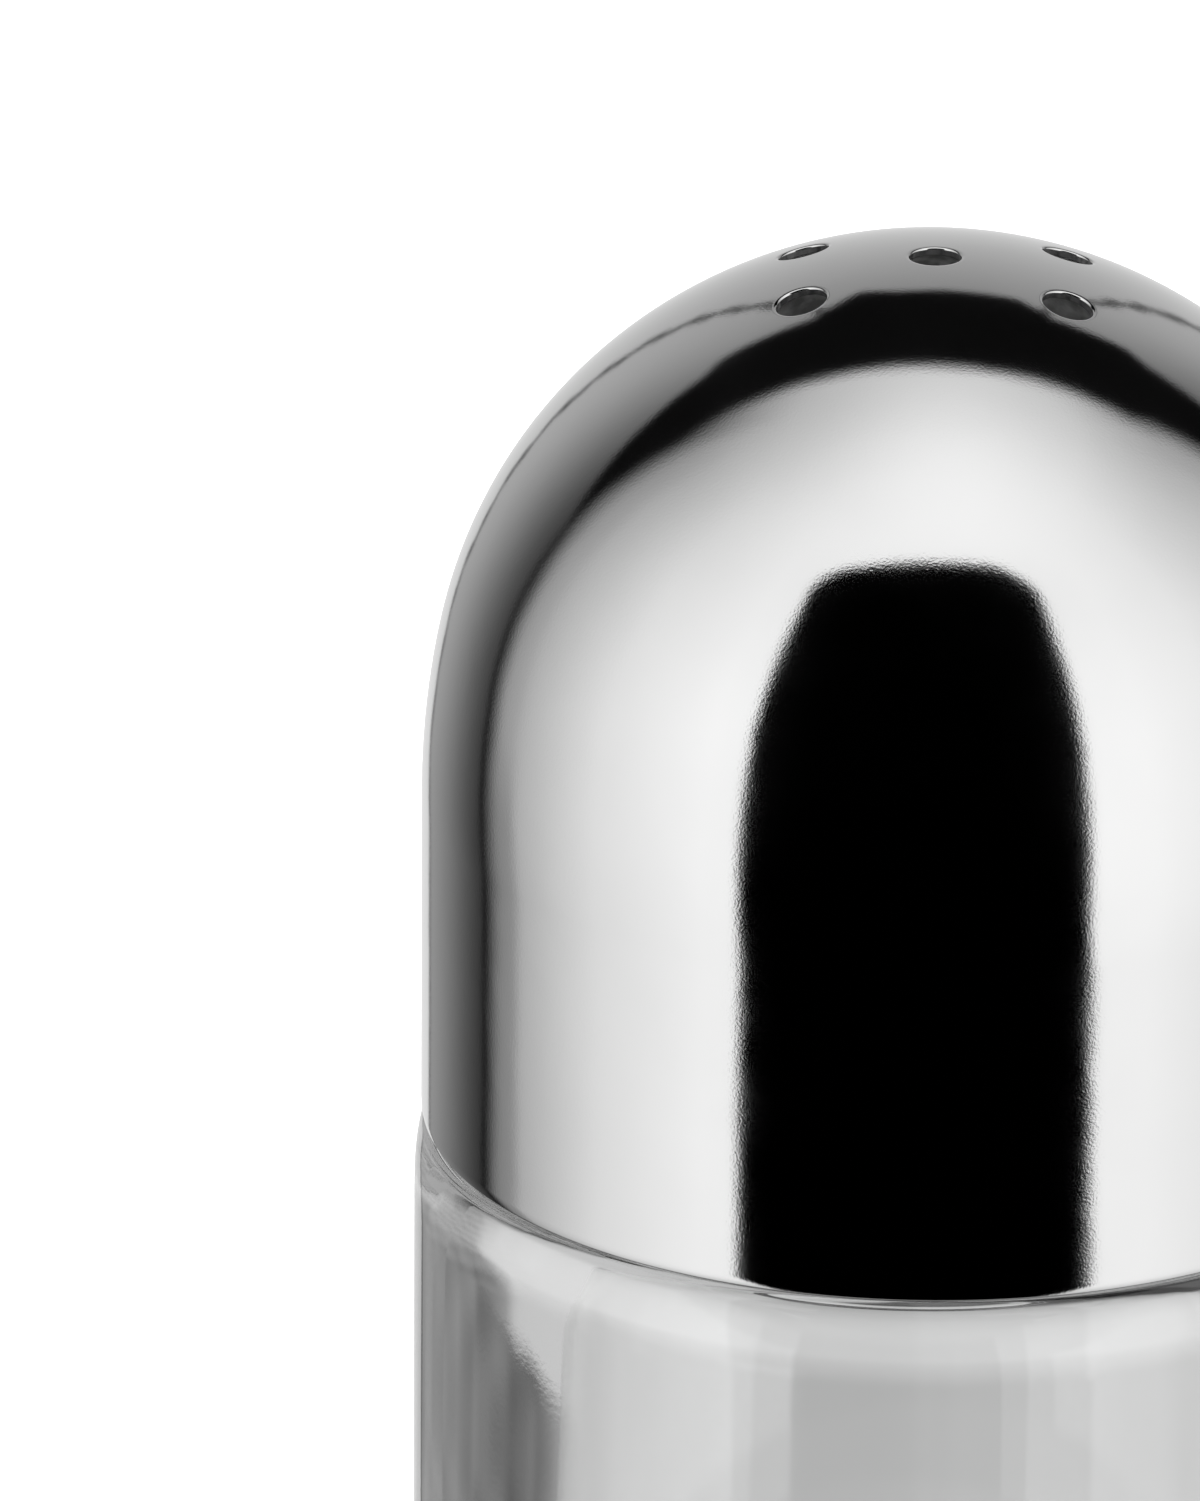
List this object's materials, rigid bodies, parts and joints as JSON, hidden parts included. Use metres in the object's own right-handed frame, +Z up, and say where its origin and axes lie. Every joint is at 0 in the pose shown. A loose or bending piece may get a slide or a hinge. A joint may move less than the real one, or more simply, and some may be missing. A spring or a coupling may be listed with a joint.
{
  "type": "salt shaker",
  "caption": "Salt shaker: thick clear glass cylinder with a soft shoulder, closed by a push-on mirror-polished steel dome pierced with sprinkle holes.",
  "frame": {"origin": "centre of the jar's foot, on the surface it stands on", "axes": "+Z up along the shaker's axis; -Y faces the viewer of the picture; the long side of the rectangle of sprinkle holes lies within 2.4 degrees of X, as the cap is turned in the picture"},
  "size_m": [0.048, 0.048, 0.095],
  "materials": {
    "clear_glass": "clear, fire-polished",
    "polished_steel": "mirror-polished stainless steel",
    "collar_plastic": "moulded, satin, off-white",
    "seal_rubber": "matte translucent silicone"
  },
  "bodies": {
    "jar": {"glass_jar": "clear_glass"},
    "cap": {"dome_cap": "polished_steel", "cap_collar": "collar_plastic", "seal_ring": "seal_rubber"}
  },
  "joints": [
    {"name": "cap_lift", "type": "slide", "parent": "jar", "child": "cap", "axis": [0, 0, 1], "range_m": [0, 0.03]}
  ]
}
